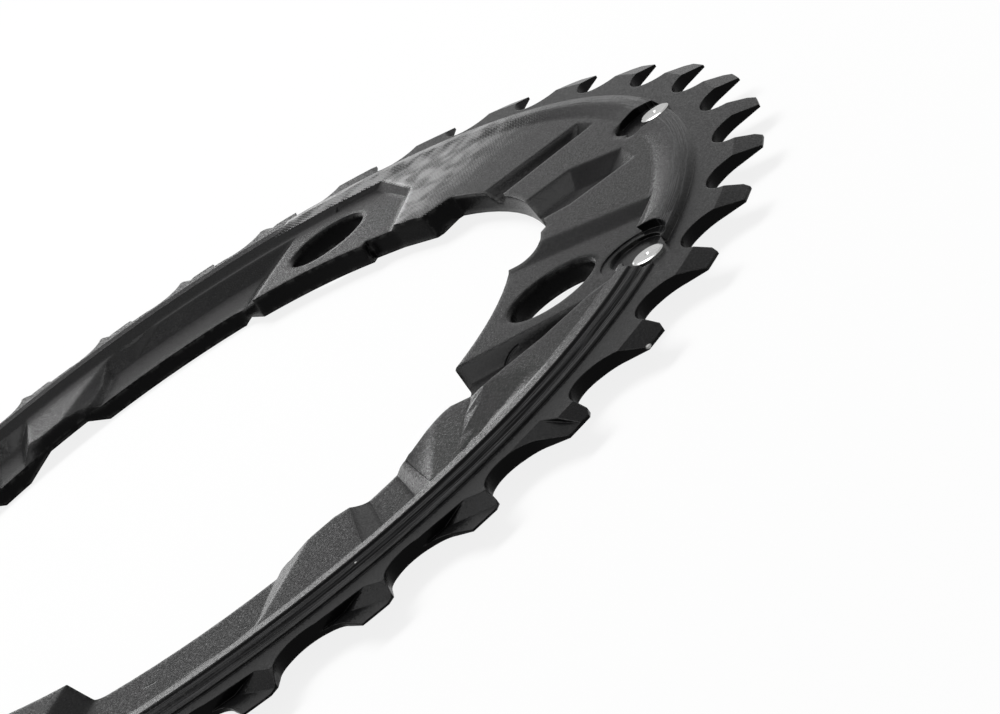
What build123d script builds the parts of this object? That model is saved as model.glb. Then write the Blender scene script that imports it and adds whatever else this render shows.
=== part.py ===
"""Bicycle chainring: a machined aluminium outer ring with pressed steel shift pins.

Millimetres, +Z up. The ring lies on its back face, the shift side up, with its axis on Z and one bolt
hole on +X. Angles run counter-clockwise seen from above. The ring repeats itself after half a turn.
"""
import os
from math import cos, radians, sin

from build123d import *

# Chain and teeth
tooth_count = 36
chain_pitch = 12.7
seat_radius = 3.95
flank_angle = 25.0
tooth_addendum = 1.65
tooth_thickness = 1.45
tip_front_drop = 0.85
tip_front_taper = 2.9
tip_back_rise = 0.3
tip_back_taper = 5.0
tip_corner_height = 0.95
tip_corner_slope = 1.17
first_gap_angle = -2.0

# Shift teeth, counted clockwise from the gap at first_gap_angle
ramped_tooth = 3
relieved_teeth = (4, 5, 6, 7, 8)
relief_depth = 0.95
ramp_tilt = 9.0

# Bolt circle and tabs
bolt_count = 4
bolt_circle_radius = 52.0
bolt_hole_radius = 5.1
bolt_hole_chamfer = 0.25
tab_end_margin = 7.9
tab_thickness = 2.5
tab_reach = 4.2
tab_root_fillet = 2.5
tab_sides = ((-9.3, 11.0), (-9.4, 7.5))
tab_flares = ((1.56, 0.0), (0.0, 1.4))
hollow_depth = 0.7
hollow_angles = (18.0, 20.5, 28.0, 31.0)
wing_depth = 3.0
wing_angles = (-30.0, -26.0, -18.0, -8.0)

# Heights above the back face
web_height = 3.45
scoop_height = 2.0
scoop_floor_thickness = 2.0
panel_rise = 0.65
ridge_height = 4.3
crest_drop = 0.15
ledge_height = 3.65
tooth_back_height = 1.85

# Steps of the ridge, measured inwards from the tooth roots
web_inset = 8.6
ridge_inner_inset = 6.3
ridge_outer_inset = 4.5
ledge_inner_inset = 3.9
ledge_outer_inset = 2.4
foot_inset = 2.1
back_rim_inset = 4.5
back_rim_slope_width = 3.9

# Shift pins, their two kinds of seat, and the recess and notch beside the seats
pin_angles = (-3.1, 35.2)
pin_inset = 3.55
pin_head_radius = 1.75
pin_head_height = 0.45
pin_head_chamfer = 0.12
pin_shank_radius = 1.3
pin_fit_clearance = 0.02
pin_seat_radii = (2.6, 3.9)
pin_seat_insets = (0.0, 1.0)
recess_angle = 0.0
recess_inset = 6.5
recess_radius = 4.05
recess_step = 1.05
recess_depth = 0.4
notch_angle = 32.5
notch_inset = 6.9
notch_radius = 1.0
notch_height = 2.6

# Radii that follow from the chain and the bolt circle
pitch_radius = chain_pitch / 2 / sin(radians(180 / tooth_count))
root_radius = pitch_radius - seat_radius
tip_radius = pitch_radius + tooth_addendum
tab_end = bolt_circle_radius - tab_end_margin
bolt_rim_radius = bolt_hole_radius + 2 * bolt_hole_chamfer
inner_radius = tab_end + tab_reach
core_radius = tab_end - 3
web_edge = root_radius - web_inset
ridge_inner = root_radius - ridge_inner_inset
ridge_outer = root_radius - ridge_outer_inset
web_width = ridge_inner - inner_radius
foot_radius = root_radius - foot_inset
back_rim = root_radius - back_rim_inset
rest_radius = back_rim - back_rim_slope_width
pin_radius = root_radius - pin_inset
tooth_top = tooth_back_height + tooth_thickness
panel_height = web_height + panel_rise
clear_height = ridge_height + 0.2
half_turns = (0, 180)


def polar(radius, angle):
    """Point at a radius and an angle in degrees."""
    return (radius * cos(radians(angle)), radius * sin(radians(angle)))


def radial_plane(angle):
    """Upright plane through the ring's axis at an angle: local x outwards, local y up."""
    return Plane((0, 0, 0), x_dir=(*polar(1, angle), 0), z_dir=(*polar(1, angle - 90), 0))


def tooth_middle(number):
    """Angle of a tooth's middle, counted clockwise from the first gap."""
    return first_gap_angle - 360 / tooth_count * (number - 0.5)


def sweep(share, start, end, steps=7):
    """Corners along an arc, as (share, angle) pairs."""
    return [(share, start + (end - start) * step / steps) for step in range(steps + 1)]


def web_points(corners, turn):
    """Points of (share, angle) corners: share 0 is the web's inner edge, 1 is the foot of the ridge."""
    return [polar(inner_radius + share * web_width, angle + turn) for share, angle in corners]


def tooth_points(corners, middle):
    """Points of (distance from the tooth roots, angle from the tooth's middle) corners."""
    return [polar(root_radius + distance, middle + angle) for distance, angle in corners]


def outline(points, height):
    """Flat face through points at a height."""
    with BuildSketch(Plane.XY.offset(height)) as face:
        with BuildLine():
            Polyline(*points, close=True)
        make_face()
    return face.sketch.face()


def pocket(floor, floor_height, mouth, mouth_height):
    """Cut a pocket with sloped sides, from the points of its floor to those of its mouth."""
    sections = [outline(floor, floor_height), outline(mouth, mouth_height)]
    loft(sections=sections, ruled=True, mode=Mode.SUBTRACT)


def scoop(floor, floor_height, mouth, mouth_height, turn):
    """Cut a pocket of the web, given by (share, angle) corners."""
    pocket(web_points(floor, turn), floor_height, web_points(mouth, turn), mouth_height)


# Scoops between the raised pads, as (share, angle) corners: floor, then mouth
reach = -0.57
narrow_floor = [(reach, -31.7), *sweep(0.63, -39.7, -35.4, 5), (reach, -26.9)]
narrow_mouth = [(reach, -35.3), *sweep(1.0, -45.0, -34.0, 5), (reach, -23.0)]
wide_floor = [(reach, -44.8), *sweep(0.54, -54.0, -77.5), (reach, -73.0)]
wide_mouth = [(reach, -41.5), *sweep(1.0, -55.0, -85.5), (reach, -83.0)]
tab_scoop_floor = [(reach, -18.6), (0.55, -8.8), (0.40, -12.3), (0.155, -17.5), (reach, -24.0)]
tab_scoop_mouth = [(reach, -10.2), (0.98, -5.7), (0.69, -13.8), (0.37, -22.3), (reach, -30.0)]

# Low pad beside the first tab, and the drafted inner edges of both pads
pad_floor = [(reach, -32.0), (0.84, -32.0), (0.62, -27.8), (0.42, -24.6),
             (0.33, -22.3), (0.20, -19.5), (reach, -16.0)]
pad_mouth = [(reach, -32.0), (1.00, -32.0), (0.80, -26.0), (0.56, -21.5),
             (0.45, -19.3), (0.30, -17.0), (reach, -13.5)]
near_pad_edge = [(0.40, -34.5), (0.22, -31.6), (0.11, -29.0), (0.07, -25.7),
                 (0.10, -22.6), (0.20, -20.5), (0.40, -18.0)]
far_pad_edge = [(0.40, -53.0), (0.25, -50.2), (0.13, -47.8), (0.11, -44.3),
                (0.11, -41.0), (0.28, -38.2), (0.50, -35.5)]

# Flats of the two tabs beside the raised panel, and the panel's two grooves
first_flat_floor = [(reach, -14.5), (reach, 15.5), (1.0, 7.4), (1.0, -6.4), (0.8, -7.6)]
first_flat_mouth = [(reach, -14.5), (reach, 26.0), (1.0, 11.5), (1.0, -5.8), (0.8, -7.8)]
second_flat_floor = [(reach, 68.5), (0.43, 77.2), (0.89, 86.0), (0.89, 92), (reach, 92)]
second_flat_mouth = [(reach, 66.5), (0.47, 75.3), (1.03, 85.0), (1.03, 92), (reach, 92)]
broad_groove_floor = [(reach, 30.0), (0.29, 27.0), (0.61, 26.0), (0.61, 29.0), (0.33, 32.0), (reach, 32.5)]
broad_groove_mouth = [(reach, 27.0), (0.26, 22.0), (0.92, 24.5), (0.85, 30.5), (0.43, 36.5), (reach, 36.5)]
slim_groove_floor = [(reach, 49.5), (0.78, 46.3), (0.78, 47.6), (reach, 52.0)]
slim_groove_mouth = [(reach, 45.0), (0.96, 44.0), (0.94, 49.0), (reach, 56.5)]

# Arcs, in degrees, where the web lies lower and where the ridge has its ledge
low_web_arc = (92, 150)
ledge_arc = (100, 176)

# Pockets in the back, as (first angle, last angle, depth, angles taken by the first and last slope)
back_pockets = [(-50.8, -35.0, web_height - scoop_floor_thickness, 3.2, 5.8),
                (-31.2, -18.5, web_height - scoop_floor_thickness, 3.0, 3.0),
                (-13.5, 15.0, web_height - tab_thickness, 1.0, 1.0),
                (28.0, 64.0, web_height - scoop_floor_thickness, 1.0, 1.0),
                (60.0, 106.0, web_height - tab_thickness, 3.0, 2.5)]
pocket_edge = 0.7
pocket_slope = 0.07

# Shift teeth, as (distance from the tooth roots, angle from the tooth's middle) corners
relief_floor = [(0.3, -1.65), (4.6, 1.05), (8.1, 3.0), (8.1, -4.5), (0.3, -4.5)]
relief_mouth = [(0.9, 1.2), (3.5, 2.4), (8.1, 4.4), (8.1, -4.5), (0.3, -4.5)]

with BuildPart() as chainring:
    # Turned blank: panel, wide ridge, and the toothed rim with tapered tips
    with BuildSketch(Plane.XZ) as blank_section:
        with BuildLine():
            Polyline(
                (core_radius, 0),
                (core_radius, panel_height),
                (ridge_inner - 0.6, panel_height),
                (ridge_inner, ridge_height - crest_drop),
                (ridge_outer - 0.2, ridge_height),
                (foot_radius - 0.4, ridge_height - 0.25),
                (foot_radius, tooth_top),
                (tip_radius - tip_front_taper, tooth_top),
                (tip_radius, tooth_top - tip_front_drop),
                (tip_radius, tooth_back_height + tip_back_rise),
                (tip_radius - tip_back_taper, tooth_back_height),
                (back_rim, tooth_back_height),
                (rest_radius, 0),
                close=True,
            )
        make_face()
    revolve(axis=Axis.Z)

    # On two opposite quadrants the web lies lower and the ridge steps down to a narrow ledge
    for turn in half_turns:
        with BuildSketch(radial_plane(turn + low_web_arc[0])) as web_section:
            with BuildLine():
                Polyline(
                    (core_radius - 1, web_height),
                    (web_edge, web_height),
                    (ridge_inner, ridge_height - crest_drop - 0.02),
                    (ridge_inner, clear_height),
                    (core_radius - 1, clear_height),
                    close=True,
                )
            make_face()
        revolve(axis=Axis.Z, revolution_arc=low_web_arc[1] - low_web_arc[0], mode=Mode.SUBTRACT)
        with BuildSketch(radial_plane(turn + ledge_arc[0])) as ledge_section:
            with BuildLine():
                Polyline(
                    (ridge_outer, clear_height),
                    (ridge_outer, ridge_height - 0.1),
                    (root_radius - ledge_inner_inset - 0.3, ledge_height + 0.12),
                    (root_radius - ledge_inner_inset, ledge_height),
                    (root_radius - ledge_outer_inset, ledge_height - 0.1),
                    (foot_radius + 0.2, tooth_top + 0.05),
                    (foot_radius + 0.2, clear_height),
                    close=True,
                )
            make_face()
        revolve(axis=Axis.Z, revolution_arc=ledge_arc[1] - ledge_arc[0], mode=Mode.SUBTRACT)

    # Scoops, flats and grooves of the shift side
    for turn in half_turns:
        scoop(pad_floor, web_height, pad_mouth, clear_height, turn)
        scoop(narrow_floor, scoop_height, narrow_mouth, clear_height, turn)
        scoop(wide_floor, scoop_height, wide_mouth, clear_height, turn)
        scoop(tab_scoop_floor, scoop_height, tab_scoop_mouth, clear_height, turn)
        scoop(first_flat_floor, web_height, first_flat_mouth, clear_height, turn)
        scoop(second_flat_floor, web_height, second_flat_mouth, clear_height, turn)
        scoop(broad_groove_floor, scoop_height + 0.6, broad_groove_mouth, clear_height, turn)
        scoop(slim_groove_floor, scoop_height + 1.0, slim_groove_mouth, clear_height, turn)
        for edge in (near_pad_edge, far_pad_edge):
            ends = [(reach, edge[-1][1]), (reach, edge[0][1])]
            foot = [(0.0, angle) for share, angle in edge]
            scoop(foot + ends, scoop_height, edge + ends, clear_height, turn)

    # Pockets of the back, with sloped sides
    for turn in half_turns:
        for start, end, depth, first_slope, last_slope in back_pockets:
            mouth = [(reach, start), *sweep(pocket_edge, start, end), (reach, end)]
            start, end = start + first_slope, end - last_slope
            roof = [(reach, start), *sweep(pocket_edge - pocket_slope, start, end), (reach, end)]
            scoop(mouth, -0.2, roof, depth, turn)

    # Central opening around the tabs, each of which flares out on one side. Two have a wing on the
    # other side, and the ring's inner edge has two shallow hollows.
    with BuildSketch() as opening:
        Circle(inner_radius)
        for number in range(bolt_count):
            low, high = tab_sides[number % 2]
            low_flare, high_flare = tab_flares[number % 2]
            with PolarLocations(0, 1, start_angle=360 / bolt_count * number):
                Polygon(
                    (core_radius, low + 2 * low_flare),
                    (core_radius, high - 2 * high_flare),
                    (inner_radius + tab_reach, high + (2 * tab_reach + 1) * high_flare),
                    (inner_radius + tab_reach, low - (2 * tab_reach + 1) * low_flare),
                    align=None,
                    mode=Mode.SUBTRACT,
                )
        corners = opening.vertices()
        roots = [corner for corner in corners if abs(corner.center().length - inner_radius) < 0.01]
        fillet(roots, radius=tab_root_fillet)
        for number in (1, 3):
            tab_angle = 360 / bolt_count * number
            panel_start = tab_angle - 90
            rim = [polar(inner_radius - wing_depth, tab_angle + angle) for angle in wing_angles[1:]]
            Polygon(
                polar(inner_radius + 1, tab_angle + wing_angles[0]),
                *rim,
                polar(inner_radius + 1, tab_angle + wing_angles[-1]),
                align=None,
                mode=Mode.SUBTRACT,
            )
            hollow_edge = inner_radius + hollow_depth
            Polygon(
                polar(inner_radius - 1, panel_start + hollow_angles[0]),
                *[polar(hollow_edge, panel_start + angle) for angle in hollow_angles[1:-1]],
                polar(inner_radius - 1, panel_start + hollow_angles[-1]),
                align=None,
            )
        Circle(tab_end)
    extrude(amount=clear_height, mode=Mode.SUBTRACT)

    # Shift teeth: one with a tilted ramp, the next ones thinned towards their leading corner
    for turn in half_turns:
        middle = tooth_middle(ramped_tooth) + turn
        with BuildSketch(radial_plane(middle)) as ramp_section:
            with BuildLine():
                Polyline(
                    (root_radius, tooth_top),
                    (root_radius + 8, tooth_top - 8 * sin(radians(ramp_tilt))),
                    (root_radius + 8, clear_height),
                    (root_radius, clear_height),
                    close=True,
                )
            make_face()
        extrude(amount=5.5, mode=Mode.SUBTRACT)
        for number in relieved_teeth:
            middle = tooth_middle(number) + turn
            pocket(tooth_points(relief_floor, middle), tooth_top - relief_depth,
                   tooth_points(relief_mouth, middle), tooth_top + 0.2 * relief_depth)

    # Tooth gaps: a roller seat with straight flanks, and one broken corner at every tooth tip
    flank_foot = -seat_radius * sin(radians(flank_angle))
    flank_side = seat_radius * cos(radians(flank_angle))
    flank_slope = (5.6 - flank_side) / (4.0 - flank_foot)
    corner_foot = tooth_addendum - tip_corner_height
    corner_side = flank_side + flank_slope * (corner_foot - flank_foot)
    with BuildSketch() as gaps:
        with PolarLocations(pitch_radius, tooth_count, start_angle=first_gap_angle):
            Circle(seat_radius)
            Polygon(
                (flank_foot, flank_side),
                (flank_foot, -flank_side),
                (4.0, -5.6),
                (4.0, 5.6),
                align=None,
            )
            Polygon(
                (corner_foot, 0),
                (corner_foot, -corner_side),
                (corner_foot + 2.0, -corner_side - 2.0 * tip_corner_slope),
                (4.0, -corner_side - 2.0 * tip_corner_slope),
                (4.0, 0),
                align=None,
            )
    extrude(amount=clear_height, mode=Mode.SUBTRACT)

    # Bolt holes with a broken edge on the shift side
    with PolarLocations(bolt_circle_radius, bolt_count):
        Hole(bolt_hole_radius)
        with Locations((0, 0, web_height)):
            Cone(bolt_hole_radius, bolt_rim_radius, 2 * bolt_hole_chamfer, mode=Mode.SUBTRACT)

    # Round seats of the shift pins, the stepped recess beside every first seat, and the notches
    recess_floor = tooth_top - recess_depth
    with BuildSketch(Plane.XY.offset(tooth_top)) as pin_seats:
        for turn in half_turns:
            for angle, radius, inset in zip(pin_angles, pin_seat_radii, pin_seat_insets):
                with Locations(polar(pin_radius - inset, angle + turn)):
                    Circle(radius)
            with Locations(polar(root_radius - recess_inset, recess_angle + turn)):
                Circle(recess_radius)
    extrude(amount=clear_height - tooth_top, mode=Mode.SUBTRACT)
    with BuildSketch(Plane.XY.offset(recess_floor)) as recesses:
        for turn in half_turns:
            with Locations(polar(root_radius - recess_inset, recess_angle + turn)):
                Circle(recess_radius - recess_step)
    extrude(amount=clear_height - recess_floor, mode=Mode.SUBTRACT)
    with BuildSketch(Plane.XY.offset(notch_height)) as notches:
        for turn in half_turns:
            with Locations(polar(root_radius - notch_inset, notch_angle + turn)):
                Circle(notch_radius)
    extrude(amount=clear_height - notch_height, mode=Mode.SUBTRACT)
    with BuildSketch() as pin_holes:
        for turn in half_turns:
            for angle in pin_angles:
                with Locations(polar(pin_radius, angle + turn)):
                    Circle(pin_shank_radius + pin_fit_clearance)
    extrude(amount=clear_height, mode=Mode.SUBTRACT)

chainring.part.label = "chainring"

os.makedirs("parts", exist_ok=True)
export_step(chainring.part, "parts/chainring.step")

# Each pin is turned: a shank through the ring and a flat head with a broken edge
pin_top = tooth_top + pin_head_height
pin_places = [angle + turn for turn in half_turns for angle in pin_angles]
for number, angle in enumerate(pin_places, start=1):
    pin_axis = Axis((*polar(pin_radius, angle), 0), (0, 0, 1))
    with BuildPart() as shift_pin:
        with BuildSketch(Plane(pin_axis.position, x_dir=(1, 0, 0), z_dir=(0, -1, 0))) as pin_section:
            with BuildLine():
                Polyline(
                    (0, tooth_back_height),
                    (pin_shank_radius, tooth_back_height),
                    (pin_shank_radius, tooth_top),
                    (pin_head_radius, tooth_top),
                    (pin_head_radius, pin_top - pin_head_chamfer),
                    (pin_head_radius - pin_head_chamfer, pin_top),
                    (0, pin_top),
                    close=True,
                )
            make_face()
        revolve(axis=pin_axis)
    shift_pin.part.label = f"shift_pin_{number}"
    export_step(shift_pin.part, f"parts/shift_pin_{number}.step")
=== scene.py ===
"""Looks of a bicycle chainring: black anodised ring, bare steel shift pins and a pale studio floor.

The scene is in metres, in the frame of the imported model: +Z up, the ring's axis on Z and one bolt
hole on +X. Measures read off the ring are given in millimetres, and angles in degrees.
"""
from __future__ import annotations

import logging
import math
from dataclasses import dataclass, field
from enum import Enum

import bmesh
import bpy
from mathutils import Matrix, Vector


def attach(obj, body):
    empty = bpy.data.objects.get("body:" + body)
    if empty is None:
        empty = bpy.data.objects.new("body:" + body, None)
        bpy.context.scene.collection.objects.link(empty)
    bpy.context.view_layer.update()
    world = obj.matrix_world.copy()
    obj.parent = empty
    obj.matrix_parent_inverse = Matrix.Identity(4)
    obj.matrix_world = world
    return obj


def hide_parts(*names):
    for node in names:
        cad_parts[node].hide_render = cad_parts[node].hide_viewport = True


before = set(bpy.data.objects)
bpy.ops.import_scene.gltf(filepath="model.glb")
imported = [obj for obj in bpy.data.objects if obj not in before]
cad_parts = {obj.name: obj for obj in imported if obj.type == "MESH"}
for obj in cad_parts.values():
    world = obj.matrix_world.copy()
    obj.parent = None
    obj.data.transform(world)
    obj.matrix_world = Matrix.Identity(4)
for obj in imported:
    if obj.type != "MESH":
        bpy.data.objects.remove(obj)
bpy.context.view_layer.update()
LOG = logging.getLogger("chainring")

Colour = tuple[float, float, float, float]
Place = tuple[float, float, float]
Span = tuple[float, float]
Socket = bpy.types.NodeSocket

MM = 0.001
HALF_TURN = 180.0
WHITE = (1.0, 1.0, 1.0, 1.0)
EXACT_NORMALS = "exact_normal"

# Millimetres within which points count as one, as level with a flat, or as lying on one ring.
SAME_POINT, SAME_LEVEL, SAME_RING = 0.002, 0.02, 0.03


class Slot(Enum):
    """Names of the record's material slots for the ring and the pins."""

    RING = "anodised_ring"
    PIN = "pin_steel"


class NodeBench:
    """Adds nodes to one tree and links them, so that materials read as a list of steps."""

    MIX_FACTOR, MIX_FIRST, MIX_SECOND, MIX_RESULT = 0, 6, 7, 2
    ALONG_THE_FLAT: Place = (1.0, 1.0, 0.0)

    def __init__(self, tree: bpy.types.NodeTree) -> None:
        """Keeps the tree that the nodes go into."""
        self.tree = tree

    def add(self, kind: str, inputs: dict | None = None, **settings: object) -> bpy.types.Node:
        """Adds one node.

        Args:
            kind: Blender's name of the node type.
            inputs: Values or sockets by input name or number; a socket is linked, a value is set.
            settings: Properties of the node itself.

        Returns:
            The new node.
        """
        node = self.tree.nodes.new(kind)
        for name, value in settings.items():
            setattr(node, name, value)
        for key, value in (inputs or {}).items():
            socket = node.inputs[key]
            if isinstance(value, Socket):
                self.tree.links.new(value, socket)
            else:
                socket.default_value = value
        return node

    def group(self, tree: bpy.types.NodeTree, **inputs: object) -> bpy.types.bpy_prop_collection:
        """Adds a shader group with its inputs by name, and returns its outputs."""
        return self.add("ShaderNodeGroup", inputs, node_tree=tree).outputs

    def math(self, operation: str, first: object, second: object = 0.0, third: object = 0.0,
             clamp: bool = False) -> Socket:
        """Adds a Math node.

        Args:
            operation: The node's operation.
            first: First value or socket.
            second: Second value or socket.
            third: Third value or socket.
            clamp: Whether the result is held between 0 and 1.

        Returns:
            The socket with the result.
        """
        node = self.add("ShaderNodeMath", {0: first, 1: second, 2: third}, operation=operation,
                        use_clamp=clamp)
        return node.outputs[0]

    def product(self, *factors: Socket) -> Socket:
        """Multiplies several masks.

        Args:
            factors: The masks' sockets.

        Returns:
            The socket with the product.
        """
        joined = factors[0]
        for factor in factors[1:]:
            joined = self.math("MULTIPLY", joined, factor)
        return joined

    def vector(self, operation: str, first: object, second: object | None = None,
               scale: object | None = None) -> Socket:
        """Adds a Vector Math node.

        Args:
            operation: The node's operation.
            first: First vector or socket.
            second: Second vector or socket, where the operation takes one.
            scale: Length that the first vector is multiplied by, where the operation takes one.

        Returns:
            The socket with the result.
        """
        given = {0: first, 1: second, "Scale": scale}
        node = self.add("ShaderNodeVectorMath",
                        {key: value for key, value in given.items() if value is not None},
                        operation=operation)
        return node.outputs["Value" if operation in ("LENGTH", "DOT_PRODUCT") else "Vector"]

    def mix(self, factor: Socket, first: object, second: object) -> Socket:
        """Mixes two colours.

        Args:
            factor: Share of the second colour.
            first: First colour or socket.
            second: Second colour or socket.

        Returns:
            The socket with the mixed colour.
        """
        node = self.add("ShaderNodeMix", {self.MIX_FACTOR: factor, self.MIX_FIRST: first,
                                          self.MIX_SECOND: second}, data_type="RGBA")
        return node.outputs[self.MIX_RESULT]

    def ramp(self, value: Socket, low: object, high: object) -> Socket:
        """Turns a range of values into a smooth 0 to 1.

        Args:
            value: The socket to map.
            low: The value or socket that becomes 0.
            high: The value or socket that becomes 1.

        Returns:
            The socket with the mapped value.
        """
        node = self.add("ShaderNodeMapRange", {0: value, 1: low, 2: high},
                        interpolation_type="SMOOTHSTEP")
        return node.outputs[0]

    def between(self, value: Socket, ends: Span) -> Socket:
        """Turns a socket that runs from 0 to 1 into a value between two ends."""
        return self.math("MULTIPLY_ADD", value, ends[1] - ends[0], ends[0])

    def noise(self, vector: Socket, scale: object, detail: float, roughness: float = 0.5,
              dimensions: str = "3D") -> bpy.types.bpy_prop_collection:
        """Adds a noise texture.

        Args:
            vector: Coordinates that it reads.
            scale: Its scale, as a value or a socket.
            detail: Number of finer layers.
            roughness: Strength of the finer layers.
            dimensions: Whether it is read in the plane or in space.

        Returns:
            The node's outputs.
        """
        return self.add("ShaderNodeTexNoise",
                        {"Vector": vector, "Scale": scale, "Detail": detail,
                         "Roughness": roughness}, noise_dimensions=dimensions).outputs

    def parts(self, place: Socket) -> bpy.types.bpy_prop_collection:
        """Splits a place into the sockets of its X, Y and Z."""
        return self.add("ShaderNodeSeparateXYZ", {0: place}).outputs

    def radius(self, place: Socket) -> Socket:
        """Distance of a place from the Z axis."""
        return self.vector("LENGTH", self.vector("MULTIPLY", place, self.ALONG_THE_FLAT))

    def outward(self, place: Socket) -> Socket:
        """Direction of a place away from the Z axis."""
        return self.vector("NORMALIZE", self.vector("MULTIPLY", place, self.ALONG_THE_FLAT))

    def angle(self, place: Socket) -> Socket:
        """Angle of a place round the Z axis, in radians."""
        across, along, _ = self.parts(place)
        return self.math("ARCTAN2", along, across)

    def leant(self, normal: Socket, lean: Socket) -> Socket:
        """Normal with a small lean added to it, at unit length."""
        return self.vector("NORMALIZE", self.vector("ADD", normal, lean))

    def seen_rays(self) -> Socket:
        """Tells rays that are seen from rays that only carry light.

        Returns:
            A socket that is 1 for camera, mirror and see-through rays, and 0 for all others.
        """
        rays = self.add("ShaderNodeLightPath").outputs
        seen = self.math("ADD", rays["Is Camera Ray"], rays["Is Glossy Ray"], clamp=True)
        return self.math("ADD", seen, rays["Is Transmission Ray"], clamp=True)


def new_material(name: str) -> tuple[bpy.types.Material, NodeBench]:
    """Starts a material with no nodes.

    Args:
        name: Name of the material.

    Returns:
        The material and a bench on its tree.
    """
    made = bpy.data.materials.new(name)
    made.use_nodes = True
    made.node_tree.nodes.clear()
    return made, NodeBench(made.node_tree)


def new_object(name: str, data: bpy.types.ID) -> bpy.types.Object:
    """Puts a new object into the scene.

    Args:
        name: Name of the object.
        data: Its mesh, lamp or camera.

    Returns:
        The object, at the origin.
    """
    made = bpy.data.objects.new(name, data)
    bpy.context.scene.collection.objects.link(made)
    return made


def shader_group(name: str, inputs: tuple[str, ...],
                 outputs: tuple[str, ...]) -> tuple[NodeBench, bpy.types.bpy_prop_collection]:
    """Starts a shader node group.

    Args:
        name: Name of the group.
        inputs: Names of its inputs; Vector and Normal are vectors, all others are values.
        outputs: Names of its outputs, of the same kinds.

    Returns:
        A bench on the group's tree, and the sockets of its inputs.
    """
    tree = bpy.data.node_groups.new(name, "ShaderNodeTree")
    for side, names in (("INPUT", inputs), ("OUTPUT", outputs)):
        for key in names:
            kind = "NodeSocketVector" if key in ("Vector", "Normal") else "NodeSocketFloat"
            tree.interface.new_socket(key, in_out=side, socket_type=kind)
    bench = NodeBench(tree)
    return bench, bench.add("NodeGroupInput").outputs


class Effects:
    """Shader node groups that the finishes are made of."""

    NOISE_MIDDLE: float = 0.5
    FINE_DETAIL: float = 1.0
    FINE_ROUGHNESS: float = 0.6
    BROAD_SCALE: float = 0.05
    BROAD_DETAIL: float = 3.0
    FINE_SHARE: float = 0.4
    BROAD_SHARE: float = 0.6
    SCUFF_DETAIL: float = 4.0
    SCUFF_ROUGHNESS: float = 0.7
    SCUFF_EDGE: float = 0.06
    LINE_DETAIL: float = 2.0
    LINE_BREAKS: float = 9.0
    LINE_TONES: Span = (0.4, 0.7)

    def __init__(self) -> None:
        """Builds the groups once."""
        self.grain = self._grain()
        self.scuffs = self._scuffs()
        self.turning = self._turning()

    def _grain(self) -> bpy.types.NodeTree:
        """Makes fine blasted grain.

        Returns:
            A group with a normal that has small random slopes, and a tone that varies from 0 to 1.
        """
        bench, given = shader_group("blasted_grain", ("Vector", "Normal", "Scale", "Slope"),
                                    ("Normal", "Tone"))
        fine = bench.noise(given["Vector"], given["Scale"], self.FINE_DETAIL, self.FINE_ROUGHNESS)
        lean = bench.vector("SUBTRACT", fine["Color"], (self.NOISE_MIDDLE,) * 3)
        lean = bench.vector("SCALE", lean, scale=given["Slope"])
        broad_scale = bench.math("MULTIPLY", given["Scale"], self.BROAD_SCALE)
        broad = bench.noise(given["Vector"], broad_scale, self.BROAD_DETAIL)
        tone = bench.math("MULTIPLY_ADD", broad[0], self.BROAD_SHARE,
                          bench.math("MULTIPLY", fine[0], self.FINE_SHARE))
        bench.add("NodeGroupOutput", {"Normal": bench.leant(given["Normal"], lean), "Tone": tone})
        return bench.tree

    def _scuffs(self) -> bpy.types.NodeTree:
        """Makes broken patches of handling wear.

        Returns:
            A group with a mask that is 0 where the surface is sound.
        """
        bench, given = shader_group("scuffs", ("Vector", "Scale", "Amount"), ("Mask",))
        patches = bench.noise(given["Vector"], given["Scale"], self.SCUFF_DETAIL,
                              self.SCUFF_ROUGHNESS)
        middle = bench.math("SUBTRACT", 1.0, given["Amount"])
        mask = bench.ramp(patches[0], bench.math("SUBTRACT", middle, self.SCUFF_EDGE),
                          bench.math("ADD", middle, self.SCUFF_EDGE))
        bench.add("NodeGroupOutput", {"Mask": mask})
        return bench.tree

    def _turning(self) -> bpy.types.NodeTree:
        """Makes the fine lines that a lathe leaves round an axis.

        Returns:
            A group with a normal that leans in and out, and the tone of the lines.
        """
        bench, given = shader_group("turning_lines", ("Vector", "Normal", "Scale", "Slope"),
                                    ("Normal", "Tone"))
        place = given["Vector"]
        unrolled = bench.add("ShaderNodeCombineXYZ",
                             {0: bench.math("MULTIPLY", bench.radius(place), given["Scale"]),
                              1: bench.math("MULTIPLY", bench.angle(place), self.LINE_BREAKS)})
        lines = bench.noise(unrolled.outputs[0], 1.0, self.LINE_DETAIL, dimensions="2D")
        lean = bench.math("MULTIPLY", bench.math("SUBTRACT", lines[0], self.NOISE_MIDDLE),
                          given["Slope"])
        lean = bench.vector("SCALE", bench.outward(place), scale=lean)
        bench.add("NodeGroupOutput", {"Normal": bench.leant(given["Normal"], lean),
                                      "Tone": bench.ramp(lines[0], *self.LINE_TONES)})
        return bench.tree


def in_metres(values: tuple[float, ...]) -> tuple[float, ...]:
    """Turns millimetres into metres."""
    return tuple(value * MM for value in values)


@dataclass(frozen=True)
class Spot:
    """One worn or dented spot: an ellipsoid turned about Z, sound again outside its core."""

    place: Place
    reach: Place
    turn: float = 0.0
    core: float = 0.5

    def mask(self, bench: NodeBench, place: Socket) -> Socket:
        """Adds the nodes of the spot's mask.

        Args:
            bench: Bench on the material's tree.
            place: Object coordinates.

        Returns:
            A socket that is 1 inside the spot and 0 outside.
        """
        local = bench.add("ShaderNodeMapping",
                          {"Vector": place, "Location": in_metres(self.place),
                           "Rotation": (0.0, 0.0, math.radians(self.turn)),
                           "Scale": in_metres(self.reach)}, vector_type="TEXTURE")
        return bench.ramp(bench.vector("LENGTH", local.outputs[0]), 1.0, self.core)


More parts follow.
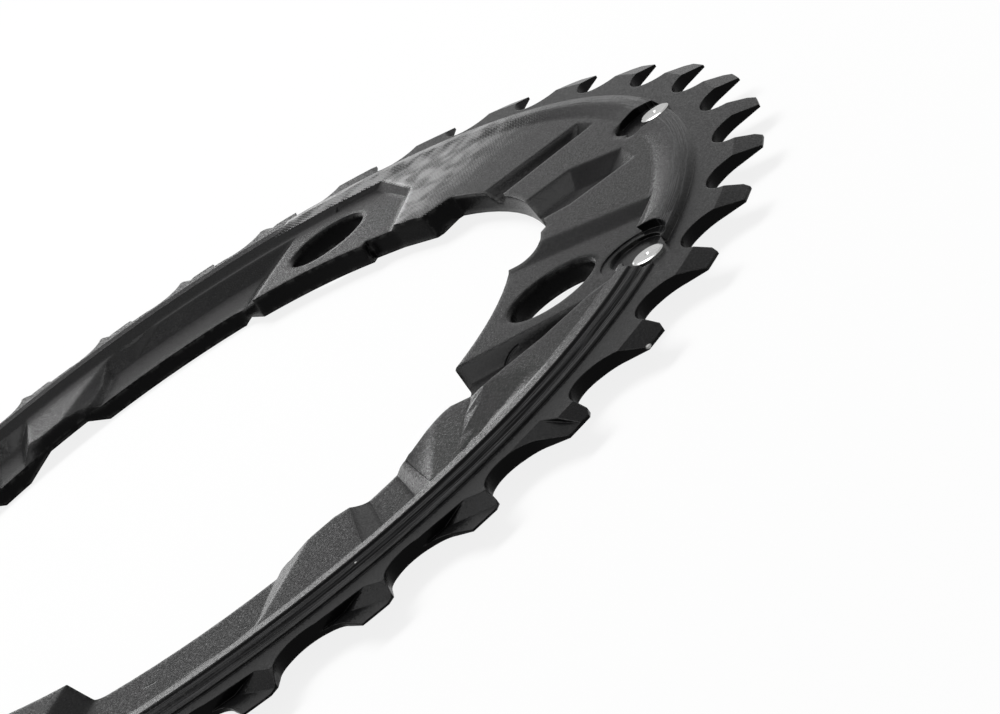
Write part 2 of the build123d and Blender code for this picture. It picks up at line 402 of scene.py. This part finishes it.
@dataclass(frozen=True)
class ToolMark:
    """Arc that a cutter's end left in a scoop: a thin line round a centre, cut off at one side."""

    centre: Span = (51.42, -11.99)
    radius: float = 3.1
    width: float = 0.18
    side: Span = (50.8, 50.3)
    heights: Span = (1.9, 3.6)

    def mask(self, bench: NodeBench, place: Socket) -> Socket:
        """Adds the nodes of the line's mask.

        Args:
            bench: Bench on the material's tree.
            place: Object coordinates.

        Returns:
            A socket that is 1 on the line and 0 off it.
        """
        across, along, height = bench.parts(place)
        across_off, along_off = (bench.math("SUBTRACT", value, middle) for value, middle
                                 in zip((across, along), in_metres(self.centre)))
        reach = bench.math("SQRT", bench.math("MULTIPLY_ADD", across_off, across_off,
                                              bench.math("MULTIPLY", along_off, along_off)))
        off = bench.math("ABSOLUTE", bench.math("SUBTRACT", reach, self.radius * MM))
        low, high = in_metres(self.heights)
        return bench.product(bench.ramp(off, self.width * MM, 0.0),
                             bench.ramp(across, *in_metres(self.side)),
                             bench.math("GREATER_THAN", height, low),
                             bench.math("LESS_THAN", height, high))


@dataclass(frozen=True)
class DotPrint:
    """Pale field of fine dots on the raised panel, thinning out along the ring and in patches."""

    grey: Colour = (0.29, 0.29, 0.29, 1.0)
    start: Span = (50.0, 76.0)
    end: Span = (103.0, 98.0)
    heights: Span = (3.95, 4.03)
    radii: Span = (66.6, 66.1)
    pitch: float = 0.33
    grid_turn: float = 28.0
    patch_scale: float = 420.0
    patch_detail: float = 1.0
    patch_tones: Span = (0.3, 0.7)
    cover: Span = (0.52, 0.87)
    dot_sizes: Span = (-0.1, 0.65)
    dot_edge: float = 0.1

    def mask(self, bench: NodeBench, place: Socket) -> Socket:
        """Adds the nodes of the dots' mask.

        Args:
            bench: Bench on the material's tree.
            place: Object coordinates.

        Returns:
            A socket that is 1 on a dot and 0 off the print.
        """
        turn = bench.math("MULTIPLY", bench.angle(place), math.degrees(1.0))
        height = bench.parts(place)[2]
        panel = bench.product(bench.ramp(turn, *self.start), bench.ramp(turn, *self.end),
                              bench.ramp(height, *in_metres(self.heights)),
                              bench.ramp(bench.radius(place), *in_metres(self.radii)))
        patches = bench.noise(place, self.patch_scale, self.patch_detail)
        patches = bench.ramp(patches[0], *self.patch_tones)
        cover = bench.math("MULTIPLY", panel, bench.between(patches, self.cover))
        grid = bench.add("ShaderNodeMapping",
                         {"Vector": place, "Rotation": (0.0, 0.0, math.radians(self.grid_turn)),
                          "Scale": (1 / (self.pitch * MM),) * 3})
        cells = bench.add("ShaderNodeTexVoronoi",
                          {"Vector": grid.outputs[0], "Scale": 1.0, "Randomness": 0.0},
                          voronoi_dimensions="2D", feature="F1")
        size = bench.between(cover, self.dot_sizes)
        return bench.ramp(cells.outputs["Distance"], bench.math("ADD", size, self.dot_edge),
                          bench.math("SUBTRACT", size, self.dot_edge))


@dataclass(frozen=True)
class AnodisedBlack:
    """Black anodised, blasted aluminium, with its print, worn edges and the photographed nicks."""

    colour: Colour = (0.003, 0.003, 0.0032, 1.0)
    pale: Colour = (0.0056, 0.0056, 0.0058, 1.0)
    milled: Colour = (0.035, 0.035, 0.036, 1.0)
    bare: Colour = (0.5, 0.5, 0.49, 1.0)
    roughness: Span = (0.2, 0.28)
    specular: float = 0.033
    grain_scale: float = 5200.0
    grain_slope: float = 0.27
    edge_round: Span = (1.2, 0.2)
    edge_samples: int = 8
    inner_crisp: float = 0.9
    web_reach: Span = (61.0, 62.2)
    lines_start: Span = (64.5, 64.7)
    lines_end: Span = (66.6, 66.4)
    lines_scale: float = 7000.0
    lines_slope: float = 0.4
    scuff_scale: float = 700.0
    scuff_amount: float = 0.5
    edge_lean: Span = (0.99, 0.9)
    edge_wear: float = 0.05
    dent_depth: float = 0.1
    dots: DotPrint = DotPrint()
    tool_mark: ToolMark = ToolMark()
    worn: tuple[Spot, ...] = (Spot((45.95, -46.08, 3.9), (0.16, 0.16, 0.3)),
                              Spot((70.7, -23.25, 2.4), (0.4, 0.4, 0.25)),
                              Spot((43.13, -9.31, 2.0), (0.35, 0.35, 0.8)))
    dents: tuple[Spot, ...] = (Spot((20.1, -48.25, 2.0), (0.95, 0.22, 0.4), 6.4),)

    def _any(self, bench: NodeBench, place: Socket, spots: tuple[Spot, ...]) -> Socket:
        """Joins the masks of several spots into one.

        Args:
            bench: Bench on the material's tree.
            place: Object coordinates.
            spots: The spots.

        Returns:
            A socket that is 1 inside any of them.
        """
        joined = spots[0].mask(bench, place)
        for spot in spots[1:]:
            joined = bench.math("MAXIMUM", joined, spot.mask(bench, place))
        return joined

    def _eased(self, bench: NodeBench, place: Socket, face: Socket, rounded: Socket) -> Socket:
        """Takes most of the lean towards the axis out of rounded edges, so inner rims stay crisp.

        Args:
            bench: Bench on the material's tree.
            place: Object coordinates.
            face: Normal of the face.
            rounded: Normal with rounded edges.

        Returns:
            The socket with the eased normal.
        """
        outward = bench.outward(place)
        inward = bench.vector("DOT_PRODUCT", bench.vector("SUBTRACT", face, rounded), outward)
        inward = bench.math("MULTIPLY", bench.math("MAXIMUM", inward, 0.0), self.inner_crisp)
        return bench.leant(rounded, bench.vector("SCALE", outward, scale=inward))

    def material(self, effects: Effects) -> bpy.types.Material:
        """Makes the material.

        Args:
            effects: The shared shader groups.

        Returns:
            The finished material.
        """
        made, bench = new_material("anodised_black")
        place = bench.add("ShaderNodeTexCoord").outputs["Object"]
        face = bench.add("ShaderNodeNewGeometry").outputs["Normal"]
        radius = bench.radius(place)

        off_web = bench.ramp(radius, *in_metres(self.web_reach))
        rounded = bench.add("ShaderNodeBevel",
                            {"Radius": bench.between(off_web, in_metres(self.edge_round))},
                            samples=self.edge_samples).outputs[0]
        flank = bench.math("MULTIPLY", bench.ramp(radius, *in_metres(self.lines_start)),
                           bench.ramp(radius, *in_metres(self.lines_end)))
        lines = bench.group(effects.turning, Vector=place,
                            Normal=self._eased(bench, place, face, rounded),
                            Scale=self.lines_scale,
                            Slope=bench.math("MULTIPLY", flank, self.lines_slope))
        grain = bench.group(effects.grain, Vector=place, Normal=lines["Normal"],
                            Scale=self.grain_scale, Slope=self.grain_slope)
        dents = bench.math("MAXIMUM", self._any(bench, place, self.dents),
                           self.tool_mark.mask(bench, place))
        dented = bench.add("ShaderNodeBump",
                           {"Strength": 1.0, "Distance": self.dent_depth * MM, "Height": dents,
                            "Normal": grain["Normal"]}, invert=True)

        scuffs = bench.group(effects.scuffs, Vector=place, Scale=self.scuff_scale,
                             Amount=self.scuff_amount)
        lean = bench.vector("DOT_PRODUCT", rounded, face)
        edge = bench.math("MULTIPLY", bench.ramp(lean, *self.edge_lean), scuffs["Mask"])
        colour = bench.mix(grain["Tone"], self.colour, self.pale)
        colour = bench.mix(bench.math("MULTIPLY", flank, lines["Tone"]), colour, self.milled)
        colour = bench.mix(self.dots.mask(bench, place), colour, self.dots.grey)
        colour = bench.mix(bench.math("MULTIPLY", edge, self.edge_wear), colour, self.bare)
        colour = bench.mix(self._any(bench, place, self.worn), colour, self.bare)
        shader = bench.add("ShaderNodeBsdfPrincipled",
                           {"Base Color": colour, "Specular IOR Level": self.specular,
                            "Roughness": bench.between(grain["Tone"], self.roughness),
                            "Normal": dented.outputs[0]})
        bench.add("ShaderNodeOutputMaterial", {"Surface": shader.outputs[0]})
        return made


@dataclass(frozen=True)
class BareSteel:
    """Bare turned steel of the shift pins."""

    colour: Colour = (0.46, 0.46, 0.455, 1.0)
    dull: Colour = (0.36, 0.36, 0.355, 1.0)
    roughness: float = 0.26
    lines_scale: float = 9000.0
    lines_slope: float = 0.12
    grain_scale: float = 6000.0
    grain_slope: float = 0.08
    grain_tones: Span = (0.3, 0.7)

    def material(self, effects: Effects, attribute: str) -> bpy.types.Material:
        """Makes the material.

        Args:
            effects: The shared shader groups.
            attribute: Name of the mesh attribute with each point's place on its own pin.

        Returns:
            The finished material.
        """
        made, bench = new_material("bare_steel")
        place = bench.add("ShaderNodeTexCoord").outputs["Object"]
        face = bench.add("ShaderNodeNewGeometry").outputs["Normal"]
        on_pin = bench.add("ShaderNodeAttribute", attribute_name=attribute).outputs["Vector"]
        lines = bench.group(effects.turning, Vector=on_pin, Normal=face, Scale=self.lines_scale,
                            Slope=self.lines_slope)
        grain = bench.group(effects.grain, Vector=place, Normal=lines["Normal"],
                            Scale=self.grain_scale, Slope=self.grain_slope)
        colour = bench.mix(bench.ramp(grain["Tone"], *self.grain_tones), self.dull, self.colour)
        shader = bench.add("ShaderNodeBsdfPrincipled",
                           {"Base Color": colour, "Roughness": self.roughness, "Metallic": 1.0,
                            "Normal": grain["Normal"]})
        bench.add("ShaderNodeOutputMaterial", {"Surface": shader.outputs[0]})
        return made


@dataclass(frozen=True)
class PaleFloor:
    """Pale matt floor that glows for the rays that are seen, so that it stays white."""

    grey: Colour = (0.85, 0.85, 0.85, 1.0)
    glow: float = 0.85

    def material(self) -> bpy.types.Material:
        """Makes the material.

        Returns:
            The finished material.
        """
        made, bench = new_material("pale_floor")
        glow = bench.add("ShaderNodeEmission", {"Color": WHITE, "Strength": 1.0})
        matt = bench.add("ShaderNodeBsdfDiffuse", {"Color": self.grey})
        share = bench.math("MULTIPLY", bench.seen_rays(), self.glow)
        blend = bench.add("ShaderNodeMixShader",
                          {0: share, 1: matt.outputs[0], 2: glow.outputs[0]})
        bench.add("ShaderNodeOutputMaterial", {"Surface": blend.outputs[0]})
        return made


def on_flat(vert: bmesh.types.BMVert) -> Vector:
    """Place of a point seen from the top, in millimetres."""
    return Vector((vert.co.x, vert.co.y, 0.0)) / MM


def round_axis(radius: float, angle: float) -> Vector:
    """Place at a radius and an angle round the ring's axis, in millimetres."""
    turn = math.radians(angle)
    return Vector((radius * math.cos(turn), radius * math.sin(turn), 0.0))


def held(share: float) -> float:
    """Holds a share between 0 and 1."""
    return min(max(share, 0.0), 1.0)


@dataclass(frozen=True)
class RunOut:
    """Gentle slope at the end of a pad, where the cutter ran out: it lowers the pad's flat face.

    The upper edge is given by two (radius, angle) points, and the slope falls clockwise from it. It
    fades out between two radii towards the ring's inner edge, and between two more at its rim. The
    flat is cut into strips down and along the slope. Points beside the flat that would stand above
    the slope are pulled down to it.
    """

    upper: tuple[Span, Span]
    fade: Span
    fall: float
    soft: float = 0.3
    height: float = 3.45
    width: float = 4.5
    deepest: float = 3.0
    rim: Span = (60.3, 58.6)
    above: float = 12.0
    past_ends: Span = (9.0, 3.0)
    cut: float = 0.25
    cuts_above: int = 6
    along_cut: float = 0.5
    along_spare: tuple[int, int] = (14, 2)
    cut_margin: float = 0.0001
    probe: float = 0.01
    pull_radius: float = 60.2
    pull_above: float = 1.0
    pull_levels: Span = (-0.7, 0.005)
    pull_upright: float = 0.1

    def _edge(self, turn: float) -> tuple[Vector, Vector, Vector, float]:
        """Finds the upper edge.

        Args:
            turn: Turn about the ring's axis.

        Returns:
            Its start, the direction along it, the direction down the slope, and its length.
        """
        first, last = (round_axis(radius, angle + turn) for radius, angle in self.upper)
        along = (last - first).normalized()
        return first, along, Vector((along.y, -along.x, 0.0)), (last - first).length

    def _beside(self, place: Vector, turn: float, above: float) -> bool:
        """Tells whether a place belongs to this pad's end.

        Args:
            place: The place, in millimetres.
            turn: Turn about the ring's axis.
            above: How far above the upper edge the place may lie.

        Returns:
            True if it does.
        """
        first, along, down, length = self._edge(turn)
        past, run = (place - first).dot(down), (place - first).dot(along)
        before, after = self.past_ends
        return -above < past < self.width and -before < run < length + after

    def _drop(self, place: Vector, turn: float) -> float:
        """Works out how far the slope lies below the flat.

        Args:
            place: The place seen from the top, in millimetres.
            turn: Turn about the ring's axis.

        Returns:
            The depth in millimetres.
        """
        first, _, down, _ = self._edge(turn)
        past = (place - first).dot(down)
        ramp = (past + math.sqrt(past * past + self.soft * self.soft)) / 2
        inner = (place.length - self.fade[0]) / (self.fade[1] - self.fade[0])
        outer = (self.rim[0] - place.length) / (self.rim[0] - self.rim[1])
        return min(self.fall * ramp, self.deepest) * held(inner) * held(outer)

    def _normal(self, place: Vector, turn: float) -> Vector:
        """Works out the normal of the slope.

        Args:
            place: The place seen from the top, in millimetres.
            turn: Turn about the ring's axis.

        Returns:
            The normal, at unit length.
        """
        here, step = self._drop(place, turn), self.probe
        return Vector((self._drop(place + Vector((step, 0.0, 0.0)), turn) - here,
                       self._drop(place + Vector((0.0, step, 0.0)), turn) - here,
                       step)).normalized()

    def _flat(self, work: bmesh.types.BMesh, turn: float) -> list[bmesh.types.BMFace]:
        """Finds the faces of the flat at this pad's end.

        Args:
            work: The ring's open mesh.
            turn: Turn about the ring's axis.

        Returns:
            The faces.
        """
        level = [face for face in work.faces
                 if all(abs(vert.co.z / MM - self.height) < SAME_LEVEL for vert in face.verts)]
        return [face for face in level
                if self._beside(face.calc_center_median() / MM, turn, self.above)]

    def _cut(self, work: bmesh.types.BMesh, turn: float) -> None:
        """Cuts the flat into strips down and along the slope.

        Args:
            work: The ring's open mesh.
            turn: Turn about the ring's axis.
        """
        first, along, down, length = self._edge(turn)
        before, after = self.along_spare
        cuts = [(down, step * self.cut)
                for step in range(-self.cuts_above, int(self.width / self.cut))]
        cuts += [(along, step * self.along_cut)
                 for step in range(-before, int(length / self.along_cut) + after)]
        for axis, distance in cuts:
            geometry = dict.fromkeys(item for face in self._flat(work, turn)
                                     for item in (face, *face.edges, *face.verts))
            bmesh.ops.bisect_plane(work, geom=list(geometry), dist=self.cut_margin * MM,
                                   plane_no=axis, plane_co=(first + axis * distance) * MM)

    def _pulled(self, vert: bmesh.types.BMVert, turn: float) -> bool:
        """Pulls a point beside the flat down to the slope, if it stands above it.

        Args:
            vert: The point.
            turn: Turn about the ring's axis.

        Returns:
            True if the point was moved.
        """
        place, level = on_flat(vert), vert.co.z / MM - self.height
        if place.length >= self.pull_radius or not self._beside(place, turn, self.pull_above):
            return False
        drop = self._drop(place, turn)
        if not self.pull_levels[0] < level < self.pull_levels[1] or level <= -drop:
            return False
        vert.co.z = (self.height - drop) * MM
        return True

    def carve(self, work: bmesh.types.BMesh, exact: bmesh.types.BMLayerItem, turn: float) -> None:
        """Cuts the flat into strips and lowers it.

        Args:
            work: The ring's open mesh.
            exact: Layer of the faces' exact normals.
            turn: Turn about the ring's axis.
        """
        self._cut(work, turn)
        faces = self._flat(work, turn)
        for face in faces:
            for loop in face.loops:
                loop[exact] = self._normal(on_flat(loop.vert), turn)
        lowered = {vert for face in faces for vert in face.verts}
        for vert in lowered:
            vert.co.z -= self._drop(on_flat(vert), turn) * MM
        for vert in work.verts:
            if vert not in lowered and self._pulled(vert, turn):
                lowered.add(vert)
        for face in {face for vert in lowered for face in vert.link_faces}.difference(faces):
            face.normal_update()
            if face.normal.z > self.pull_upright:
                for loop in face.loops:
                    loop[exact] = face.normal


def opened_copy(node: bpy.types.Object) -> tuple[bmesh.types.BMesh, bmesh.types.BMLayerItem]:
    """Copies a CAD node's mesh for work on it, merged, with the exact normals of the solid's faces.

    Args:
        node: The CAD node.

    Returns:
        The open mesh and the layer of its normals.
    """
    work = bmesh.new()
    work.from_mesh(node.data)
    exact = work.loops.layers.float_vector.new(EXACT_NORMALS)
    for face, polygon in zip(work.faces, node.data.polygons):
        for loop, corner in zip(face.loops, polygon.loop_indices):
            loop[exact] = node.data.corner_normals[corner].vector
    bmesh.ops.remove_doubles(work, verts=work.verts, dist=SAME_POINT * MM)
    return work, exact


def closed_copy(work: bmesh.types.BMesh, name: str,
                material: bpy.types.Material) -> bpy.types.Object:
    """Closes a mesh opened by opened_copy into a new object.

    Args:
        work: The open mesh, which is freed.
        name: Name of the new piece.
        material: Its material.

    Returns:
        The new object, at the origin.
    """
    bmesh.ops.triangulate(work, faces=[face for face in work.faces if len(face.verts) > 3])
    mesh = bpy.data.meshes.new(name)
    work.to_mesh(mesh)
    work.free()
    mesh.materials.clear()
    mesh.materials.append(material)
    mesh.shade_smooth()
    normals = [corner.vector.copy() for corner in mesh.attributes[EXACT_NORMALS].data]
    mesh.attributes.remove(mesh.attributes[EXACT_NORMALS])
    mesh.normals_split_custom_set(normals)
    return new_object(name, mesh)


@dataclass
class Ring:
    """The machined ring, with the cutter's run-outs at the ends of its pads.

    The flank's steps move rings of points from one (radius, height) to another. The crown gives
    each ring of points on the wide ridge its lean outward, by radius.
    """

    finish: AnodisedBlack = field(default_factory=AnodisedBlack)
    run_outs: tuple[RunOut, ...] = (
        RunOut(((54.7, -30.1), (60.1, -34.4)), (44.0, 58.0), 0.38),
        RunOut(((51.6, -47.5), (61.0, -55.2)), (36.0, 54.0), 0.36),
        RunOut(((54.0, -19.0), (62.0, -19.0)), (62.6, 60.3), 0.07, height=4.1, width=13.0, cut=0.5,
               deepest=0.64, rim=(64.0, 63.0)))
    flank_steps: tuple[tuple[Span, Span], ...] = (((64.41, 4.28), (64.38, 4.27)),
                                                  ((64.41, 4.2), (64.62, 4.06)),
                                                  ((64.71, 3.77), (65.3, 3.95)),
                                                  ((65.01, 3.65), (65.7, 3.63)))
    crown: tuple[Span, ...] = ((62.01, -5.0), (62.61, -14.0), (64.21, -9.0), (66.41, 25.0),
                               (66.81, 58.0))
    crown_angles: Span = (-3.0, 101.0)
    crown_foot: float = 3.2
    upright: float = 0.3

    def build(self, effects: Effects) -> list[bpy.types.Object]:
        """Makes the ring's piece in place of its CAD node.

        Args:
            effects: The shared shader groups.

        Returns:
            The finished pieces.
        """
        work, exact = opened_copy(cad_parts["chainring"])
        self._ease_flank(work, exact)
        self._round_ridge(work, exact)
        for turn in (0.0, HALF_TURN):
            for run_out in self.run_outs:
                run_out.carve(work, exact, turn)
        made = closed_copy(work, "ring_body", self.finish.material(effects))
        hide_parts("chainring")
        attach(made, "root")
        return [made]

    def _round_ridge(self, work: bmesh.types.BMesh, exact: bmesh.types.BMLayerItem) -> None:
        """Turns the normals of the wide ridge's facets so that they shade as one round crown.

        Args:
            work: The ring's open mesh.
            exact: Layer of the faces' exact normals.
        """
        start, end = self.crown_angles
        leans = {}
        for vert in work.verts:
            angle = math.degrees(math.atan2(vert.co.y, vert.co.x))
            if (angle - start) % HALF_TURN >= end - start or vert.co.z <= self.crown_foot * MM:
                continue
            for radius, lean in self.crown:
                if abs(vert.co.xy.length / MM - radius) < SAME_RING:
                    leans[vert] = math.radians(lean)
        for face in work.faces:
            if face.normal.z <= self.upright or any(vert not in leans for vert in face.verts):
                continue
            for loop in face.loops:
                lean = leans[loop.vert]
                around = loop.vert.co.xy.normalized() * math.sin(lean)
                loop[exact] = Vector((around.x, around.y, math.cos(lean)))

    def _ease_flank(self, work: bmesh.types.BMesh, exact: bmesh.types.BMLayerItem) -> None:
        """Eases the ridge's outer flank: moves its rings of points and turns its normals to match.

        Args:
            work: The ring's open mesh.
            exact: Layer of the faces' exact normals.
        """
        moved = set()
        for vert in work.verts:
            radius, height = vert.co.xy.length / MM, vert.co.z / MM
            for (old_radius, old_height), (new_radius, new_height) in self.flank_steps:
                if (abs(radius - old_radius) < SAME_RING
                        and abs(height - old_height) < SAME_RING):
                    scale = new_radius / radius
                    vert.co = Vector((vert.co.x * scale, vert.co.y * scale, new_height * MM))
                    moved.add(vert)
                    break
        for face in {face for vert in moved for face in vert.link_faces}:
            if sum(vert in moved for vert in face.verts) < 2:
                continue
            face.normal_update()
            middle = face.calc_center_median().xy.normalized()
            outward, upward = face.normal.xy.dot(middle), face.normal.z
            if upward < self.upright:
                continue
            for loop in face.loops:
                around = loop.vert.co.xy.normalized() * outward
                loop[exact] = Vector((around.x, around.y, upward)).normalized()


@dataclass
class Pins:
    """The four pressed shift pins, turned to one profile and set in their seats by Geometry Nodes.

    The profile is a list of (radius, height) points from the foot of the shank to the centre mark.
    """

    finish: BareSteel = field(default_factory=BareSteel)
    nodes: tuple[str, ...] = ("shift_pin_1", "shift_pin_2", "shift_pin_3", "shift_pin_4")
    seat_radius: float = 65.357
    angles: Span = (-3.1, 35.2)
    profile: tuple[Span, ...] = ((0.0, 1.85), (1.3, 1.85), (1.3, 3.3), (1.75, 3.3), (1.75, 3.635),
                                 (1.55, 3.75), (0.34, 3.75), (0.0, 3.56))
    around: int = 48
    merge: float = 0.001
    attribute: str = "place_on_pin"

    def build(self, effects: Effects) -> list[bpy.types.Object]:
        """Makes the pins in place of their CAD nodes.

        Args:
            effects: The shared shader groups.

        Returns:
            The finished pieces.
        """
        carrier = new_object("pin_carrier", bpy.data.meshes.new("pin_carrier"))
        tree = self._tree()
        modifier = carrier.modifiers.new("shift_pins", "NODES")
        modifier.node_group = tree
        first, second = (math.radians(angle) for angle in self.angles)
        given = {"Seat Radius": self.seat_radius * MM, "First Angle": first,
                 "Second Angle": second, "Material": self.finish.material(effects, self.attribute)}
        for item in tree.interface.items_tree:
            if item.in_out == "INPUT":
                modifier[item.identifier] = given[item.name]
        seen = carrier.evaluated_get(bpy.context.evaluated_depsgraph_get())
        mesh = bpy.data.meshes.new_from_object(seen)
        mesh.name = "shift_pins"
        carrier.modifiers.remove(modifier)
        bpy.data.objects.remove(carrier)
        made = new_object("shift_pins", mesh)
        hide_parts(*self.nodes)
        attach(made, "root")
        return [made]

    def _tree(self) -> bpy.types.NodeTree:
        """Makes the tree that turns one pin and sets two of them into each half of the ring.

        Returns:
            The Geometry Nodes tree.
        """
        tree = bpy.data.node_groups.new("shift_pins", "GeometryNodeTree")
        for name in ("Seat Radius", "First Angle", "Second Angle"):
            tree.interface.new_socket(name, in_out="INPUT", socket_type="NodeSocketFloat")
        tree.interface.new_socket("Material", in_out="INPUT", socket_type="NodeSocketMaterial")
        tree.interface.new_socket("Geometry", in_out="OUTPUT", socket_type="NodeSocketGeometry")
        bench = NodeBench(tree)
        given = bench.add("NodeGroupInput").outputs
        index = bench.add("GeometryNodeInputIndex").outputs[0]
        pin = self._turned(bench, index)

        half, second = self._split(bench, index, len(self.angles))
        gap = bench.math("SUBTRACT", given["Second Angle"], given["First Angle"])
        angle = bench.math("ADD", bench.math("MULTIPLY_ADD", second, gap, given["First Angle"]),
                           bench.math("MULTIPLY", half, math.radians(HALF_TURN)))
        seats = bench.add("GeometryNodePoints",
                          {"Count": len(self.nodes),
                           "Position": self._polar(bench, given["Seat Radius"], angle)})
        pins = bench.add("GeometryNodeInstanceOnPoints",
                         {"Points": seats.outputs[0], "Instance": pin})
        pins = bench.add("GeometryNodeRealizeInstances", {"Geometry": pins.outputs[0]})
        pins = bench.add("GeometryNodeSetShadeSmooth",
                         {"Geometry": pins.outputs[0], "Shade Smooth": False})
        pins = bench.add("GeometryNodeSetMaterial",
                         {"Geometry": pins.outputs[0], "Material": given["Material"]})
        bench.add("NodeGroupOutput", {"Geometry": pins.outputs[0]})
        return tree

    def _turned(self, bench: NodeBench, index: Socket) -> Socket:
        """Adds the nodes that turn the profile about the Z axis.

        Args:
            bench: Bench on the tree.
            index: Running number of a point.

        Returns:
            The socket with one pin, whose points keep their place on it as an attribute.
        """
        rows = self.around + 1
        grid = bench.add("GeometryNodeMeshGrid",
                         {"Vertices X": len(self.profile), "Vertices Y": rows})
        step, turn = self._split(bench, index, rows)
        turn = bench.math("MULTIPLY", turn, math.tau / self.around)
        radius, height = (self._by_step(bench, step, in_metres(values))
                          for values in zip(*self.profile))
        pin = bench.add("GeometryNodeSetPosition",
                        {"Geometry": grid.outputs["Mesh"],
                         "Position": self._polar(bench, radius, turn, height)})
        pin = bench.add("GeometryNodeMergeByDistance",
                        {"Geometry": pin.outputs[0], "Distance": self.merge * MM})
        pin = bench.add("GeometryNodeStoreNamedAttribute",
                        {"Geometry": pin.outputs[0], "Name": self.attribute,
                         "Value": bench.add("GeometryNodeInputPosition").outputs[0]},
                        data_type="FLOAT_VECTOR", domain="POINT")
        return pin.outputs[0]

    def _split(self, bench: NodeBench, index: Socket, length: int) -> tuple[Socket, Socket]:
        """Splits a running number into a row and a place in the row.

        Args:
            bench: Bench on the tree.
            index: The running number.
            length: Length of a row.

        Returns:
            The sockets with the row's number and the place in it, both from 0.
        """
        half_step = 0.5
        inside = bench.math("ADD", index, half_step)
        row = bench.math("FLOOR", bench.math("DIVIDE", inside, float(length)))
        return row, bench.math("SUBTRACT", index, bench.math("MULTIPLY", row, float(length)))

    def _by_step(self, bench: NodeBench, step: Socket, values: tuple[float, ...]) -> Socket:
        """Adds an Index Switch that picks a value by the profile's step.

        Args:
            bench: Bench on the tree.
            step: The step's number.
            values: One value for each step.

        Returns:
            The socket with the picked value.
        """
        switch = bench.add("GeometryNodeIndexSwitch", data_type="FLOAT")
        while len(switch.index_switch_items) < len(values):
            switch.index_switch_items.new()
        bench.tree.links.new(step, switch.inputs[0])
        for socket, value in zip(switch.inputs[1:], values):
            socket.default_value = value
        return switch.outputs[0]

    def _polar(self, bench: NodeBench, radius: Socket, turn: Socket,
               height: object = 0.0) -> Socket:
        """Adds the nodes of a place round the Z axis.

        Args:
            bench: Bench on the tree.
            radius: Its distance from the axis.
            turn: Its angle in radians.
            height: Its height, as a value or a socket.

        Returns:
            The socket with the place.
        """
        return bench.add("ShaderNodeCombineXYZ",
                         {0: bench.math("MULTIPLY", radius, bench.math("COSINE", turn)),
                          1: bench.math("MULTIPLY", radius, bench.math("SINE", turn)),
                          2: height}).outputs[0]


@dataclass(frozen=True)
class Lamp:
    """One flat lamp that faces the ring, in metres and watts."""

    name: str
    place: Place
    size: Span
    power: float

    def hang(self) -> None:
        """Puts the lamp into the scene, out of the camera's sight."""
        data = bpy.data.lights.new(self.name, "AREA")
        data.shape = "RECTANGLE"
        data.size, data.size_y = self.size
        data.energy = self.power
        made = new_object(self.name, data)
        made.location = self.place
        made.rotation_euler = (-Vector(self.place)).to_track_quat("-Z", "Y").to_euler()
        made.visible_camera = False


@dataclass
class Studio:
    """Floor, light and camera, in metres."""

    eye: Place = (0.220443, -0.287257, 0.102753)
    target: Place = (0.048401, -0.009509, 0.0027)
    roll: float = 35.498
    lens: float = 124.99
    sensor: float = 36.0
    nearest: float = 0.01
    floor_reach: float = 6.0
    floor_height: float = -0.0002
    floor_finish: PaleFloor = PaleFloor()
    world_light: Span = (0.25, 1.0)
    lamps: tuple[Lamp, ...] = (Lamp("softbox", (-0.28, 0.1, 0.956), (0.9, 0.4), 9.6),
                               Lamp("side_box", (-0.602, 0.128, 0.788), (0.3, 0.25), 1.1),
                               Lamp("low_panel", (-1.04, 0.6, 0.115), (1.35, 0.21), 2.3))

    def camera(self) -> None:
        """Places the camera as the photograph was taken."""
        data = bpy.data.cameras.new("camera")
        data.lens = self.lens
        data.sensor_width = self.sensor
        data.sensor_fit = "HORIZONTAL"
        data.clip_start = self.nearest
        made = new_object("camera", data)
        eye = Vector(self.eye)
        turn = (Vector(self.target) - eye).to_track_quat("-Z", "Y").to_matrix().to_4x4()
        roll = Matrix.Rotation(math.radians(-self.roll), 4, "Z")
        made.matrix_world = Matrix.Translation(eye) @ turn @ roll
        bpy.context.scene.camera = made

    def floor(self) -> None:
        """Lays a pale floor that stays white to the camera and keeps a soft shadow."""
        mesh = bpy.data.meshes.new("floor")
        reach = self.floor_reach
        corners = [(-reach, -reach, 0), (reach, -reach, 0), (reach, reach, 0), (-reach, reach, 0)]
        mesh.from_pydata(corners, [], [(0, 1, 2, 3)])
        made = new_object("floor", mesh)
        made.location.z = self.floor_height
        mesh.materials.append(self.floor_finish.material())

    def light(self) -> None:
        """Sets an even pale world, soft lamps above and at the side, and a low one behind."""
        world = bpy.data.worlds.new("studio")
        world.use_nodes = True
        world.node_tree.nodes.clear()
        bench = NodeBench(world.node_tree)
        strength = bench.between(bench.seen_rays(), self.world_light)
        back = bench.add("ShaderNodeBackground", {"Color": WHITE, "Strength": strength})
        bench.add("ShaderNodeOutputWorld", {"Surface": back.outputs[0]})
        bpy.context.scene.world = world
        for lamp in self.lamps:
            lamp.hang()


def main() -> None:
    """Builds the pieces in order and reports each."""
    logging.basicConfig(level=logging.INFO, format="%(name)s: %(message)s")
    bpy.context.scene.view_settings.view_transform = "Standard"
    effects = Effects()
    for part in (Ring(), Pins()):
        for piece in part.build(effects):
            LOG.info("%s: %d faces", piece.name, len(piece.data.polygons))
    studio = Studio()
    studio.floor()
    studio.light()
    studio.camera()


if __name__ == "__main__":
    main()
